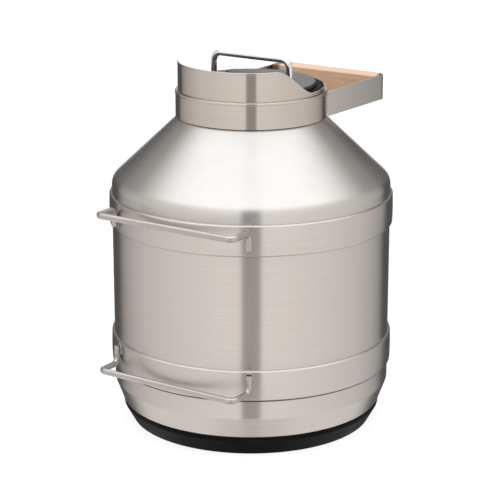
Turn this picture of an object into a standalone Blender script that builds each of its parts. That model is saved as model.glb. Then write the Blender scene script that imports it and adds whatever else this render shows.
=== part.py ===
"""Stainless can with a scoop-shaped pouring rim, lift-out lid, grip loop and wire handles.

Frame: the origin is the centre of the base on the floor, +Z is up along the can's axis,
+Y points to the grip loop and -Y to the pouring side and the two wire handles.
The object is symmetric about the plane x = 0. Sizes below are in millimetres; MM turns
them into Blender's metres.
"""

import math

import bmesh
import bpy
from mathutils import Matrix, Vector

MM = 0.001
GAP = 0.3
TURN_STEPS = 60
SMOOTH_ANGLE = math.radians(35)

# Base ring and pan
BOOT_BOTTOM_R = 158.0
BOOT_TOP_R = 169.0
BOOT_INNER_R = 148.0
BOOT_HEIGHT = 25.7
BOOT_FLARE = math.radians(29.2)
BOOT_FOOT_ROUND = 1.0
BOOT_LIP_Z = 22.0
BOOT_LIP_ROUND = 6.0
BOOT_EDGE = 0.8
PAN_BOTTOM_Z = 26.0
PAN_BOTTOM_R = 169.2
PAN_FLARE = math.radians(24)
PAN_FLARE_TOP_Z = 57.0
PAN_FOOT_ROUND = 3.0
PAN_FLARE_ROUND = 10.0

# Wall, hoops and shoulder
BODY_R = 180.0
SHEET = 1.2
PAN_TOP_Z = 96.0
SHELL_TOP_Z = 284.0
HOOP_STAND_OFF = 3.4
HOOP_HEIGHT = 40.2
HOOP_EDGE = 8.0
HOOP_EDGE_STEPS = 3
LOWER_HOOP_Z = 79.4
UPPER_HOOP_Z = 264.8
SHOULDER_ARC_Z = 313.7
SHOULDER_ARC_R = 18.0
CONE_ANGLE = math.radians(46.5)
CONE_TOP_R = 94.8

# Neck
COLLAR_R = 97.0
COLLAR_BOTTOM_Z = 403.0
COLLAR_TOP_Z = 436.5
COLLAR_THICK = 1.5
COLLAR_HEM = 2.6
COLLAR_HEM_PROUD = 0.5
RIM_R = 94.0
RIM_BOTTOM_Z = 403.0
RIM_HIGH_Z = 473.5
RIM_LOW_Z = 441.7
RIM_HIGH_HALF_ANGLE = math.radians(53)
RIM_LOW_HALF_ANGLE = math.radians(89)
RIM_HEM = 2.2
RIM_HEM_PROUD = 0.3

# Wire handles on the pouring side
WIRE_R = 4.0
WIRE_HALF_SPAN = 101.5
WIRE_REACH = 194.0
WIRE_BEND_R = 9.0
UPPER_WIRE_Z = 297.0
LOWER_WIRE_Z = 92.6
WIRE_LEG = 22.5
WELD_HALF_LENGTH = 3.0
WELD_HALF_DEPTH = 1.4
WELD_HALF_HEIGHT = 1.6

# Grip loop
STRAP_HALF_WIDTH = 82.8
STRAP_END_Y = 202.0
STRAP_THICK = 2.0
STRAP_BEND_R = 10.0
STRAP_BOTTOM_Z = 398.6
STRAP_ROOT_Z = 400.0
STRAP_TOP_Z = 432.0
BAR_DEPTH = 27.5
BAR_TOP_Z = 433.5
BAR_NEAR_CORNER = 3.0
BAR_FAR_CORNER = 16.0
BAR_EDGE = 1.8
SEAM_R = 1.3
SEAM_END = 1.5
GRIP_SCREW_X = 50.0
GRIP_SCREW_LENGTH = 16.0

# Lid
LID_R = 83.0
LID_TOP_Z = 446.8
LID_SHEET = 1.2
LID_SKIRT = 11.0
LID_ROUND = 2.4
GASKET_R = 91.7
GASKET_TOP_Z = 441.6
GASKET_BOTTOM_Z = 428.6
GASKET_ROUND = 1.5
GASKET_LIP = 4.0
GASKET_GROOVE = 1.4
UNDERPLATE_R = 88.0
BOSS_HALF_LENGTH = 36.5
BOSS_HALF_WIDTH = 14.0
BOSS_HEIGHT = 10.0
BOSS_ROUND = 3.0
HANDLE_HALF_SPAN = 57.5
HANDLE_R = 4.0
HANDLE_Z = 478.0
HANDLE_BEND_R = 11.0
HANDLE_BORE_R = 2.4
HANDLE_BORE_DEPTH = 9.0

# Screws
SCREW_R = 2.0
SCREW_HOLE_R = 2.3
SCREW_HEAD_R = 4.2
SCREW_HEAD = 2.4
SCREW_CHAMFER = 0.5
SCREW_TIP_GAP = 1.0
SCREW_STEPS = 16
SPACER_R = 4.5

# name: (colour, roughness, metallic)
MATERIALS = {
    "brushed_steel": ((0.58, 0.55, 0.52), 0.32, 1.0),
    "lid_steel": ((0.36, 0.38, 0.40), 0.40, 1.0),
    "chrome": ((0.78, 0.78, 0.79), 0.08, 1.0),
    "screw_steel": ((0.55, 0.54, 0.52), 0.30, 1.0),
    "weld_steel": ((0.42, 0.37, 0.32), 0.45, 1.0),
    "wood": ((0.72, 0.50, 0.34), 0.55, 0.0),
    "black_rubber": ((0.012, 0.012, 0.014), 0.55, 0.0),
    "black_plastic": ((0.018, 0.018, 0.020), 0.38, 0.0),
    "black_gloss": ((0.030, 0.030, 0.035), 0.28, 0.0),
}


def clear_scene():
    for old in list(bpy.data.objects):
        bpy.data.objects.remove(old, do_unlink=True)


def material(name):
    found = bpy.data.materials.get(name)
    if found:
        return found
    colour, roughness, metallic = MATERIALS[name]
    made = bpy.data.materials.new(name)
    made.use_nodes = True
    shader = made.node_tree.nodes["Principled BSDF"]
    shader.inputs["Base Color"].default_value = (*colour, 1.0)
    shader.inputs["Roughness"].default_value = roughness
    shader.inputs["Metallic"].default_value = metallic
    made.diffuse_color = (*colour, 1.0)
    return made


def finish_mesh(bm, name, material_name, origin=(0, 0, 0)):
    """Turn a bmesh drawn in millimetres into a named object with its origin at the given point."""
    bm.normal_update()
    bmesh.ops.recalc_face_normals(bm, faces=bm.faces)
    shift = Vector(origin)
    for vert in bm.verts:
        vert.co = (vert.co - shift) * MM
    mesh = bpy.data.meshes.new(name)
    bm.to_mesh(mesh)
    bm.free()
    mesh.shade_smooth()
    mesh.set_sharp_from_angle(angle=SMOOTH_ANGLE)
    mesh.materials.append(material(material_name))
    made = bpy.data.objects.new(name, mesh)
    made.location = shift * MM
    bpy.context.scene.collection.objects.link(made)
    return made


def ring_of_sections(section_at, steps=TURN_STEPS):
    """Join closed (radius, height) sections, one for each angle, into a ring around +Z."""
    bm = bmesh.new()
    rings = []
    for step in range(steps):
        angle = 2 * math.pi * step / steps
        ring = []
        for radius, height in section_at(angle):
            point = (radius * math.cos(angle), radius * math.sin(angle), height)
            ring.append(bm.verts.new(point))
        rings.append(ring)
    count = len(rings[0])
    for step in range(steps):
        here = rings[step]
        there = rings[(step + 1) % steps]
        for index in range(count):
            after = (index + 1) % count
            bm.faces.new((here[index], there[index], there[after], here[after]))
    return bm


def turned_disc(profile, steps=TURN_STEPS):
    """Turn an open (radius, height) outline, whose two ends lie on the axis, around +Z."""
    bm = bmesh.new()
    top = bm.verts.new((0, 0, profile[0][1]))
    bottom = bm.verts.new((0, 0, profile[-1][1]))
    rings = []
    for radius, height in profile[1:-1]:
        ring = []
        for step in range(steps):
            angle = 2 * math.pi * step / steps
            ring.append(bm.verts.new((radius * math.cos(angle), radius * math.sin(angle), height)))
        rings.append(ring)
    for step in range(steps):
        after = (step + 1) % steps
        bm.faces.new((top, rings[0][step], rings[0][after]))
        bm.faces.new((bottom, rings[-1][after], rings[-1][step]))
        for upper, lower in zip(rings, rings[1:]):
            bm.faces.new((upper[step], lower[step], lower[after], upper[after]))
    return bm


def arc(centre, radius, start, end, steps):
    """Points of a circular arc in the (radius, height) plane, angles in radians."""
    points = []
    for step in range(steps + 1):
        angle = start + (end - start) * step / steps
        points.append((centre[0] + radius * math.cos(angle), centre[1] + radius * math.sin(angle)))
    return points


def offset_inwards(outline, distance):
    """Shift an open (radius, height) outline to its right-hand side by a sheet's thickness."""
    shifted = []
    last = len(outline) - 1
    for index, (radius, height) in enumerate(outline):
        before = outline[max(index - 1, 0)]
        after = outline[min(index + 1, last)]
        along_r = after[0] - before[0]
        along_z = after[1] - before[1]
        length = math.hypot(along_r, along_z)
        shifted.append((radius - along_z / length * distance, height + along_r / length * distance))
    return shifted


def sheet_ring(outline, thick):
    """A turned sheet: its outer outline runs bottom to top, and its inner side is offset inwards."""
    section = outline + offset_inwards(outline, thick)[::-1]
    return ring_of_sections(lambda angle: section)


def hem(outer_r, inner_r, top_z, height, proud):
    """A thickened top edge: up the outer face, over the top and down the inner face."""
    low_z = top_z - height
    shoulder_z = top_z - height / 4
    swell_z = low_z + height / 4
    return [
        (outer_r, low_z),
        (outer_r + proud, swell_z),
        (outer_r + proud, shoulder_z),
        (outer_r, top_z),
        (inner_r, top_z),
        (inner_r - proud, shoulder_z),
        (inner_r - proud, swell_z),
        (inner_r, low_z),
    ]


def rounded_path(corners, bend_r, steps=6):
    """A path through 3-D corners, each inner corner replaced by an arc of the bend radius."""
    points = [Vector(corners[0])]
    for before, corner, after in zip(corners, corners[1:], corners[2:]):
        corner = Vector(corner)
        back = (Vector(before) - corner).normalized()
        ahead = (Vector(after) - corner).normalized()
        half = back.angle(ahead) / 2
        centre = corner + (back + ahead).normalized() * (bend_r / math.sin(half))
        start = (corner + back * (bend_r / math.tan(half)) - centre).normalized()
        end = (corner + ahead * (bend_r / math.tan(half)) - centre).normalized()
        for step in range(steps + 1):
            points.append(centre + start.slerp(end, step / steps) * bend_r)
    points.append(Vector(corners[-1]))
    return points


def round_rod(path, radius, sides=12, bore_r=0.0, bore_depth=0.0):
    """Sweep a circle along a path; both ends can have a blind bore along the path."""
    bm = bmesh.new()
    tangents = []
    for index in range(len(path)):
        before = path[max(index - 1, 0)]
        after = path[min(index + 1, len(path) - 1)]
        tangents.append((after - before).normalized())
    side = tangents[0].orthogonal().normalized()
    rings = []
    frames = []
    for point, tangent in zip(path, tangents):
        side = (side - tangent * side.dot(tangent)).normalized()
        frames.append((point, side.copy(), tangent.cross(side)))
        rings.append(circle_ring(bm, frames[-1], radius, sides))
    for here, there in zip(rings, rings[1:]):
        bridge(bm, here, there)
    for end, inward in ((0, tangents[0]), (-1, -tangents[-1])):
        close_end(bm, rings[end], frames[end], inward, bore_r, bore_depth)
    return bm


def circle_ring(bm, frame, radius, sides):
    point, side, other = frame
    ring = []
    for step in range(sides):
        angle = 2 * math.pi * (step + 0.5) / sides
        ring.append(bm.verts.new(point + (side * math.cos(angle) + other * math.sin(angle)) * radius))
    return ring


def bridge(bm, here, there):
    count = len(here)
    for index in range(count):
        after = (index + 1) % count
        bm.faces.new((here[index], here[after], there[after], there[index]))


def close_end(bm, ring, frame, inward, bore_r, bore_depth):
    if bore_r <= 0:
        bm.faces.new(ring)
        return
    point, side, other = frame
    mouth = circle_ring(bm, frame, bore_r, len(ring))
    floor = circle_ring(bm, (point + inward * bore_depth, side, other), bore_r, len(ring))
    bridge(bm, ring, mouth)
    bridge(bm, mouth, floor)
    bm.faces.new(floor)


def extruded_outline(points, low_z, high_z):
    """A straight prism over a closed plan outline."""
    bm = bmesh.new()
    lower = [bm.verts.new((x, y, low_z)) for x, y in points]
    upper = [bm.verts.new((x, y, high_z)) for x, y in points]
    bridge(bm, lower, upper)
    bm.faces.new(lower)
    bm.faces.new(upper)
    return bm


def cutter(name, place, radius, length, axis="Z"):
    """A hidden round cutter centred on a point, for a screw hole."""
    start = Vector(place)
    half = Vector((0, 0, length / 2)) if axis == "Z" else Vector((0, length / 2, 0))
    made = finish_mesh(round_rod([start - half, start + half], radius, 16), name, "screw_steel")
    made.hide_render = True
    made.display_type = "WIRE"
    return made


def cut_holes(target, cutters):
    for tool in cutters:
        cut = target.modifiers.new("hole_" + tool.name, "BOOLEAN")
        cut.operation = "DIFFERENCE"
        cut.solver = "EXACT"
        cut.object = tool


def smooth_step(value):
    value = min(max(value, 0.0), 1.0)
    return value * value * (3 - 2 * value)


# ---------------------------------------------------------------- can body


def make_base_boot():
    """The moulded ring under the pan: flat foot, flaring wall and an upright lip."""
    foot_centre = (BOOT_BOTTOM_R - BOOT_FOOT_ROUND, BOOT_FOOT_ROUND)
    lip_centre = (BOOT_TOP_R - BOOT_LIP_ROUND, BOOT_LIP_Z)
    outline = [(BOOT_INNER_R, 0.0)]
    outline += arc(foot_centre, BOOT_FOOT_ROUND, -math.pi / 2, -BOOT_FLARE, 2)
    outline += arc(lip_centre, BOOT_LIP_ROUND, -BOOT_FLARE, 0, 2)
    outline += [
        (BOOT_TOP_R, BOOT_HEIGHT - BOOT_EDGE),
        (BOOT_TOP_R - BOOT_EDGE, BOOT_HEIGHT),
        (BOOT_INNER_R, BOOT_HEIGHT),
    ]
    return finish_mesh(ring_of_sections(lambda angle: outline), "base_boot", "black_plastic")


def make_base_pan():
    """A deep dish: floor, flared foot, straight wall that ends inside the lower hoop."""
    foot_centre = (PAN_BOTTOM_R - PAN_FOOT_ROUND, PAN_BOTTOM_Z + PAN_FOOT_ROUND)
    flare_centre = (BODY_R - PAN_FLARE_ROUND, PAN_FLARE_TOP_Z)
    outer = [(0.0, PAN_BOTTOM_Z)]
    outer += arc(foot_centre, PAN_FOOT_ROUND, -math.pi / 2, -PAN_FLARE, 2)
    outer += arc(flare_centre, PAN_FLARE_ROUND, -PAN_FLARE, 0, 2)
    outer.append((BODY_R, PAN_TOP_Z))
    inner = offset_inwards(outer, SHEET)
    inner[0] = (0.0, PAN_BOTTOM_Z + SHEET)
    profile = outer + inner[::-1]
    return finish_mesh(turned_disc(profile), "base_pan", "brushed_steel")


def make_body_shell():
    outline = [(BODY_R, PAN_TOP_Z + GAP), (BODY_R, SHELL_TOP_Z)]
    return finish_mesh(sheet_ring(outline, SHEET), "body_shell", "brushed_steel")


def hoop_face_r():
    return BODY_R + GAP + HOOP_STAND_OFF


def make_hoop(name, bottom_z):
    """A band of sheet round the wall, hollow behind, its two edges rolled in to the wall."""
    depth = HOOP_STAND_OFF - SHEET
    foot_r = hoop_face_r() - SHEET / 2 - depth
    foot_z = bottom_z + SHEET / 2
    edge = HOOP_EDGE - SHEET / 2
    lower_edge = []
    for step in range(HOOP_EDGE_STEPS + 1):
        turn = math.pi / 2 * step / HOOP_EDGE_STEPS
        lower_edge.append((foot_r + depth * math.sin(turn), foot_z + edge * (1 - math.cos(turn))))
    middle_z = bottom_z + HOOP_HEIGHT / 2
    upper_edge = [(radius, 2 * middle_z - height) for radius, height in reversed(lower_edge)]
    outline = lower_edge + upper_edge
    section = offset_inwards(outline, -SHEET / 2) + offset_inwards(outline, SHEET / 2)[::-1]
    return finish_mesh(ring_of_sections(lambda angle: section), name, "brushed_steel")


def make_shoulder_cone():
    centre = (BODY_R - SHOULDER_ARC_R, SHOULDER_ARC_Z)
    outline = [(BODY_R, SHELL_TOP_Z + GAP)] + arc(centre, SHOULDER_ARC_R, 0, CONE_ANGLE, 5)
    foot_r, foot_z = outline[-1]
    cone_top_z = foot_z + (foot_r - CONE_TOP_R) / math.tan(CONE_ANGLE)
    outline.append((CONE_TOP_R, cone_top_z))
    return finish_mesh(sheet_ring(outline, SHEET), "shoulder_cone", "brushed_steel")


def make_neck_collar():
    inner_r = COLLAR_R - COLLAR_THICK
    section = [(inner_r, COLLAR_BOTTOM_Z), (COLLAR_R, COLLAR_BOTTOM_Z)]
    section += hem(COLLAR_R, inner_r, COLLAR_TOP_Z, COLLAR_HEM, COLLAR_HEM_PROUD)
    return finish_mesh(ring_of_sections(lambda angle: section), "neck_collar", "brushed_steel")


def rim_edge_height(angle):
    """Height of the rim's top edge: high over the pouring side at -Y, low over the grip side."""
    from_pour = abs(math.remainder(angle + math.pi / 2, 2 * math.pi))
    drop = (from_pour - RIM_HIGH_HALF_ANGLE) / (RIM_LOW_HALF_ANGLE - RIM_HIGH_HALF_ANGLE)
    return RIM_HIGH_Z + (RIM_LOW_Z - RIM_HIGH_Z) * smooth_step(drop)


def make_pouring_rim():
    inner_r = RIM_R - SHEET

    def section(angle):
        foot = [(inner_r, RIM_BOTTOM_Z), (RIM_R, RIM_BOTTOM_Z)]
        return foot + hem(RIM_R, inner_r, rim_edge_height(angle), RIM_HEM, RIM_HEM_PROUD)

    return finish_mesh(ring_of_sections(section), "pouring_rim", "brushed_steel")


# ---------------------------------------------------------------- wire handles


def wire_root_y():
    """Y of a wire leg's centre, where it touches the hoop's face."""
    leg_r = hoop_face_r() + GAP + WIRE_R
    return -math.sqrt(leg_r**2 - WIRE_HALF_SPAN**2)


def make_wire_handle(name, bar_z, leg_end_z):
    root_y = wire_root_y()
    half = [
        (WIRE_HALF_SPAN, root_y, leg_end_z),
        (WIRE_HALF_SPAN, root_y, bar_z),
        (WIRE_HALF_SPAN, -WIRE_REACH, bar_z),
    ]
    mirrored = [(-x, y, z) for x, y, z in reversed(half)]
    path = rounded_path(half + mirrored, WIRE_BEND_R)
    return finish_mesh(round_rod(path, WIRE_R), name, "brushed_steel")


def make_wire_weld(name, side, end_z, direction):
    """A flattened bead on the hoop, just past the free end of a wire leg."""
    angle = math.atan2(wire_root_y(), side * WIRE_HALF_SPAN)
    out = Vector((math.cos(angle), math.sin(angle), 0))
    along = Vector((-out.y, out.x, 0))
    up = Vector((0, 0, 1))
    stand_off = hoop_face_r() + GAP + WELD_HALF_DEPTH
    centre = out * stand_off + up * (end_z + direction * (GAP + WELD_HALF_HEIGHT))
    bm = bmesh.new()
    bmesh.ops.create_icosphere(bm, subdivisions=2, radius=1.0)
    for vert in bm.verts:
        x, y, z = vert.co
        vert.co = centre + along * x * WELD_HALF_LENGTH + out * y * WELD_HALF_DEPTH
        vert.co += up * z * WELD_HALF_HEIGHT
    return finish_mesh(bm, name, "weld_steel")


# ---------------------------------------------------------------- grip loop


def collar_touch_y(x):
    """Y where a strap edge at this x stops, just clear of the collar's hem."""
    stop_r = COLLAR_R + COLLAR_HEM_PROUD + GAP
    return math.sqrt(stop_r**2 - x**2)


def strap_outline():
    """Plan outline of the U-shaped strap, outer side then inner side."""
    outer_x = STRAP_HALF_WIDTH
    inner_x = outer_x - STRAP_THICK
    outer = [(outer_x, collar_touch_y(outer_x))]
    inner = [(inner_x, collar_touch_y(inner_x))]
    centre = (outer_x - STRAP_BEND_R, STRAP_END_Y - STRAP_BEND_R)
    outer += arc(centre, STRAP_BEND_R, 0, math.pi / 2, 5)
    inner += arc(centre, STRAP_BEND_R - STRAP_THICK, 0, math.pi / 2, 5)
    outer += [(-x, y) for x, y in reversed(outer)]
    inner += [(-x, y) for x, y in reversed(inner)]
    return outer + inner[::-1]


def grip_screw_height():
    return (STRAP_BOTTOM_Z + STRAP_TOP_Z) / 2


def make_screw(name, seat, turn, length, origin=(0, 0, 0)):
    """A domed screw whose head sits at the given point; the turn about X aims the head from +Z."""
    outline = []
    dome_steps = 3
    for step in range(dome_steps + 1):
        lean = math.pi / 2 * step / dome_steps
        outline.append((SCREW_HEAD_R * math.sin(lean), SCREW_HEAD * math.cos(lean)))
    outline += [(SCREW_R, 0.0), (SCREW_R, SCREW_CHAMFER - length)]
    outline += [(SCREW_R - SCREW_CHAMFER, -length), (0.0, -length)]
    bm = turned_disc(outline, SCREW_STEPS)
    bm.transform(Matrix.Translation(seat) @ Matrix.Rotation(turn, 4, "X"))
    return finish_mesh(bm, name, "screw_steel", origin)


def make_grip_strap(hole_cutters):
    """The strap's lower edge rises a little towards the collar, to clear the cone."""
    bm = extruded_outline(strap_outline(), STRAP_BOTTOM_Z, STRAP_TOP_Z)
    for vert in bm.verts:
        at_collar = vert.co.y < collar_touch_y(0)
        if at_collar and vert.co.z < STRAP_ROOT_Z:
            vert.co.z = STRAP_ROOT_Z
    strap = finish_mesh(bm, "grip_strap", "brushed_steel")
    cut_holes(strap, hole_cutters)
    return strap


def bar_outline():
    """Plan outline of the wood bar: small round corners on the can's side, wide ones far off."""
    half_x = STRAP_HALF_WIDTH - STRAP_THICK - GAP
    far_y = STRAP_END_Y - STRAP_THICK - GAP
    near_y = far_y - BAR_DEPTH
    near_centre = (half_x - BAR_NEAR_CORNER, near_y + BAR_NEAR_CORNER)
    far_centre = (half_x - BAR_FAR_CORNER, far_y - BAR_FAR_CORNER)
    right = arc(near_centre, BAR_NEAR_CORNER, -math.pi / 2, 0, 3)
    right += arc(far_centre, BAR_FAR_CORNER, 0, math.pi / 2, 8)
    return right + [(-x, y) for x, y in reversed(right)]


def make_grip_bar(hole_cutters):
    bm = extruded_outline(bar_outline(), STRAP_BOTTOM_Z, BAR_TOP_Z)
    level = [edge for edge in bm.edges if abs(edge.verts[0].co.z - edge.verts[1].co.z) < GAP]
    bmesh.ops.bevel(bm, geom=level, offset=BAR_EDGE, segments=2, profile=0.5, affect="EDGES")
    bar = finish_mesh(bm, "grip_bar", "wood")
    cut_holes(bar, hole_cutters)
    return bar


def make_grip_screw(name, x):
    """A screw from outside the strap's end into the wood."""
    place = (x, STRAP_END_Y + GAP, grip_screw_height())
    return make_screw(name, place, -math.pi / 2, GRIP_SCREW_LENGTH)


def make_seam(name, side):
    """A bead in the sharp corner between the collar and the strap's inner face."""
    wall_x = STRAP_HALF_WIDTH - STRAP_THICK - GAP - SEAM_R
    stand_off = COLLAR_R + COLLAR_HEM_PROUD + GAP + SEAM_R
    place_y = math.sqrt(stand_off**2 - wall_x**2)
    path = [
        Vector((side * wall_x, place_y, STRAP_BOTTOM_Z + SEAM_END)),
        Vector((side * wall_x, place_y, STRAP_TOP_Z - SEAM_END)),
    ]
    return finish_mesh(round_rod(path, SEAM_R, 10), name, "weld_steel")


# ---------------------------------------------------------------- lid

LID_ORIGIN = (0.0, 0.0, LID_TOP_Z)


def make_lid_top(hole_cutters):
    """A shallow cap: flat cover with a rounded edge and a turned-down skirt."""
    skirt_z = LID_TOP_Z - LID_SKIRT
    round_centre = (LID_R - LID_ROUND, LID_TOP_Z - LID_ROUND)
    outline = [(0.0, LID_TOP_Z)]
    outline += arc(round_centre, LID_ROUND, math.pi / 2, 0, 3)
    outline += [(LID_R, skirt_z), (LID_R - LID_SHEET, skirt_z)]
    outline += arc(round_centre, LID_ROUND - LID_SHEET, 0, math.pi / 2, 3)
    outline.append((0.0, LID_TOP_Z - LID_SHEET))
    cover = finish_mesh(turned_disc(outline), "lid_top", "lid_steel", LID_ORIGIN)
    cut_holes(cover, hole_cutters)
    return cover


def make_lid_gasket():
    """A rubber ring round the cover's skirt: two lips with a groove between them."""
    inner_r = LID_R + GAP
    groove_r = GASKET_R - GASKET_GROOVE
    lip_z = GASKET_BOTTOM_Z + GASKET_LIP
    low_centre = (GASKET_R - GASKET_ROUND, GASKET_BOTTOM_Z + GASKET_ROUND)
    high_centre = (GASKET_R - GASKET_ROUND, GASKET_TOP_Z - GASKET_ROUND)
    section = [(inner_r, GASKET_BOTTOM_Z)]
    section += arc(low_centre, GASKET_ROUND, -math.pi / 2, 0, 2)
    section += [
        (GASKET_R, lip_z),
        (groove_r, lip_z + GASKET_GROOVE),
        (groove_r, lip_z + 2 * GASKET_GROOVE),
        (GASKET_R, lip_z + 3 * GASKET_GROOVE),
    ]
    section += arc(high_centre, GASKET_ROUND, 0, math.pi / 2, 2)
    section.append((inner_r, GASKET_TOP_Z))
    bm = ring_of_sections(lambda angle: section)
    return finish_mesh(bm, "lid_gasket", "black_rubber", LID_ORIGIN)


def underplate_top_z():
    return GASKET_BOTTOM_Z - GAP


def make_lid_underplate(hole_cutters):
    top_z = underplate_top_z()
    under_z = top_z - LID_SHEET
    outline = [(0.0, top_z), (UNDERPLATE_R, top_z), (UNDERPLATE_R, under_z), (0.0, under_z)]
    plate = finish_mesh(turned_disc(outline), "lid_underplate", "lid_steel", LID_ORIGIN)
    cut_holes(plate, hole_cutters)
    return plate


def make_lid_boss():
    """A long raised block with round ends and a rounded top edge, along the handle."""
    straight = BOSS_HALF_LENGTH - BOSS_HALF_WIDTH
    base_z = LID_TOP_Z + GAP
    wall_z = base_z + BOSS_HEIGHT - BOSS_ROUND
    levels = [(0.0, base_z)]
    round_steps = 4
    for step in range(round_steps + 1):
        turn = math.pi / 2 * step / round_steps
        levels.append((BOSS_ROUND * (1 - math.cos(turn)), wall_z + BOSS_ROUND * math.sin(turn)))
    bm = bmesh.new()
    rings = []
    for inset, height in levels:
        radius = BOSS_HALF_WIDTH - inset
        plan = arc((straight, 0.0), radius, -math.pi / 2, math.pi / 2, 10)
        plan += arc((-straight, 0.0), radius, math.pi / 2, math.pi * 3 / 2, 10)
        rings.append([bm.verts.new((x, y, height)) for x, y in plan])
    for here, there in zip(rings, rings[1:]):
        bridge(bm, here, there)
    bm.faces.new(rings[0])
    bm.faces.new(rings[-1])
    return finish_mesh(bm, "lid_boss", "black_gloss", LID_ORIGIN)


def make_lid_handle():
    foot_z = LID_TOP_Z + GAP
    corners = [
        (HANDLE_HALF_SPAN, 0.0, foot_z),
        (HANDLE_HALF_SPAN, 0.0, HANDLE_Z),
        (-HANDLE_HALF_SPAN, 0.0, HANDLE_Z),
        (-HANDLE_HALF_SPAN, 0.0, foot_z),
    ]
    path = rounded_path(corners, HANDLE_BEND_R, 7)
    bm = round_rod(path, HANDLE_R, 14, HANDLE_BORE_R, HANDLE_BORE_DEPTH)
    return finish_mesh(bm, "lid_handle", "chrome", LID_ORIGIN)


def make_spacer(name, x):
    low_z = underplate_top_z() + GAP
    high_z = LID_TOP_Z - LID_SHEET - GAP
    section = [(SCREW_HOLE_R, low_z), (SPACER_R, low_z), (SPACER_R, high_z), (SCREW_HOLE_R, high_z)]
    bm = ring_of_sections(lambda angle: section, SCREW_STEPS)
    for vert in bm.verts:
        vert.co.x += x
    return finish_mesh(bm, name, "screw_steel", LID_ORIGIN)


def make_lid_screw(name, x):
    """A screw from under the underplate, up through the spacer into a handle leg."""
    seat_z = underplate_top_z() - LID_SHEET - GAP
    leg_bore_top_z = LID_TOP_Z + GAP + HANDLE_BORE_DEPTH
    length = leg_bore_top_z - SCREW_TIP_GAP - seat_z
    return make_screw(name, (x, 0.0, seat_z), math.pi, length, LID_ORIGIN)


# ---------------------------------------------------------------- assembly


def make_can():
    make_base_boot()
    make_base_pan()
    make_body_shell()
    make_hoop("lower_hoop", LOWER_HOOP_Z)
    make_hoop("upper_hoop", UPPER_HOOP_Z)
    make_shoulder_cone()
    make_neck_collar()
    make_pouring_rim()


def make_wire_handles():
    upper_end = UPPER_WIRE_Z - WIRE_LEG
    lower_end = LOWER_WIRE_Z + WIRE_LEG
    make_wire_handle("upper_wire_handle", UPPER_WIRE_Z, upper_end)
    make_wire_handle("lower_wire_handle", LOWER_WIRE_Z, lower_end)
    for side, word in ((-1, "left"), (1, "right")):
        make_wire_weld("weld_upper_" + word, side, upper_end, -1)
        make_wire_weld("weld_lower_" + word, side, lower_end, 1)


def make_grip():
    hole_centre_y = STRAP_END_Y - GRIP_SCREW_LENGTH / 2
    hole_length = GRIP_SCREW_LENGTH + 2 * SCREW_TIP_GAP
    cutters = []
    for side, word in ((-1, "left"), (1, "right")):
        x = side * GRIP_SCREW_X
        place = (x, hole_centre_y, grip_screw_height())
        cutters.append(cutter("cut_grip_" + word, place, SCREW_HOLE_R, hole_length, "Y"))
        make_grip_screw("grip_screw_" + word, x)
        make_seam("seam_" + word, side)
    make_grip_strap(cutters)
    make_grip_bar(cutters)


def make_lid():
    axis = bpy.data.objects.new("lid_lift_axis", None)
    axis.location = Vector(LID_ORIGIN) * MM
    bpy.context.scene.collection.objects.link(axis)
    hole_length = 2 * (LID_TOP_Z - GASKET_BOTTOM_Z)
    hole_centre_z = (LID_TOP_Z + GASKET_BOTTOM_Z) / 2
    cutters = []
    pieces = []
    for side, word in ((-1, "left"), (1, "right")):
        x = side * HANDLE_HALF_SPAN
        cutters.append(cutter("cut_lid_" + word, (x, 0.0, hole_centre_z), SCREW_HOLE_R, hole_length))
        pieces.append(make_spacer("spacer_" + word, x))
        pieces.append(make_lid_screw("lid_screw_" + word, x))
    pieces += [make_lid_top(cutters), make_lid_gasket(), make_lid_underplate(cutters)]
    pieces += [make_lid_boss(), make_lid_handle()]
    for piece in pieces:
        piece.parent = axis
        piece.location = (0, 0, 0)


clear_scene()
make_can()
make_wire_handles()
make_grip()
make_lid()
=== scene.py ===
"""Looks of the stainless can: fine surfaces, materials, soft studio light and the camera.

The CAD frame gives every place and size. Outlines below are drawn in millimetres and turned
into metres by MM. +Z is up along the can's axis, +Y points to the grip loop and -Y to the
pouring side with its two wire handles.
"""

import math

import bmesh
import bpy
from mathutils import Matrix, Vector


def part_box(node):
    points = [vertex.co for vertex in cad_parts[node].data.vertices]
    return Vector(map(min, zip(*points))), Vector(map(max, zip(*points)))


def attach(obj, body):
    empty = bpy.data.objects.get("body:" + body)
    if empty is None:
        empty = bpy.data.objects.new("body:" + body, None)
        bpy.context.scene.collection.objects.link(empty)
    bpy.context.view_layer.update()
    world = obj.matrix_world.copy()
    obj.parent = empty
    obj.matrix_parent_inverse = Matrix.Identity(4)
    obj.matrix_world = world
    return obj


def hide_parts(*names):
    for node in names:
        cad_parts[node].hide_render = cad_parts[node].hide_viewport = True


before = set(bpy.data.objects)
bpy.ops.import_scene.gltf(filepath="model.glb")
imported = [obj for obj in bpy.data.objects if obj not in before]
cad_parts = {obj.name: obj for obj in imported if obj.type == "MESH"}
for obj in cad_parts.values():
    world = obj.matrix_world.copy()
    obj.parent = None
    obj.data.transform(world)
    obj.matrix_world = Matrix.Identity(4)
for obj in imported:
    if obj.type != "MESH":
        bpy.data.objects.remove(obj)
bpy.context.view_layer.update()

MM = 0.001
TURN_STEPS = 240
HOOP_STEPS = 12
ROD_EASE_STEPS = 4
SHARP_ANGLE = math.radians(40)

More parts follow.
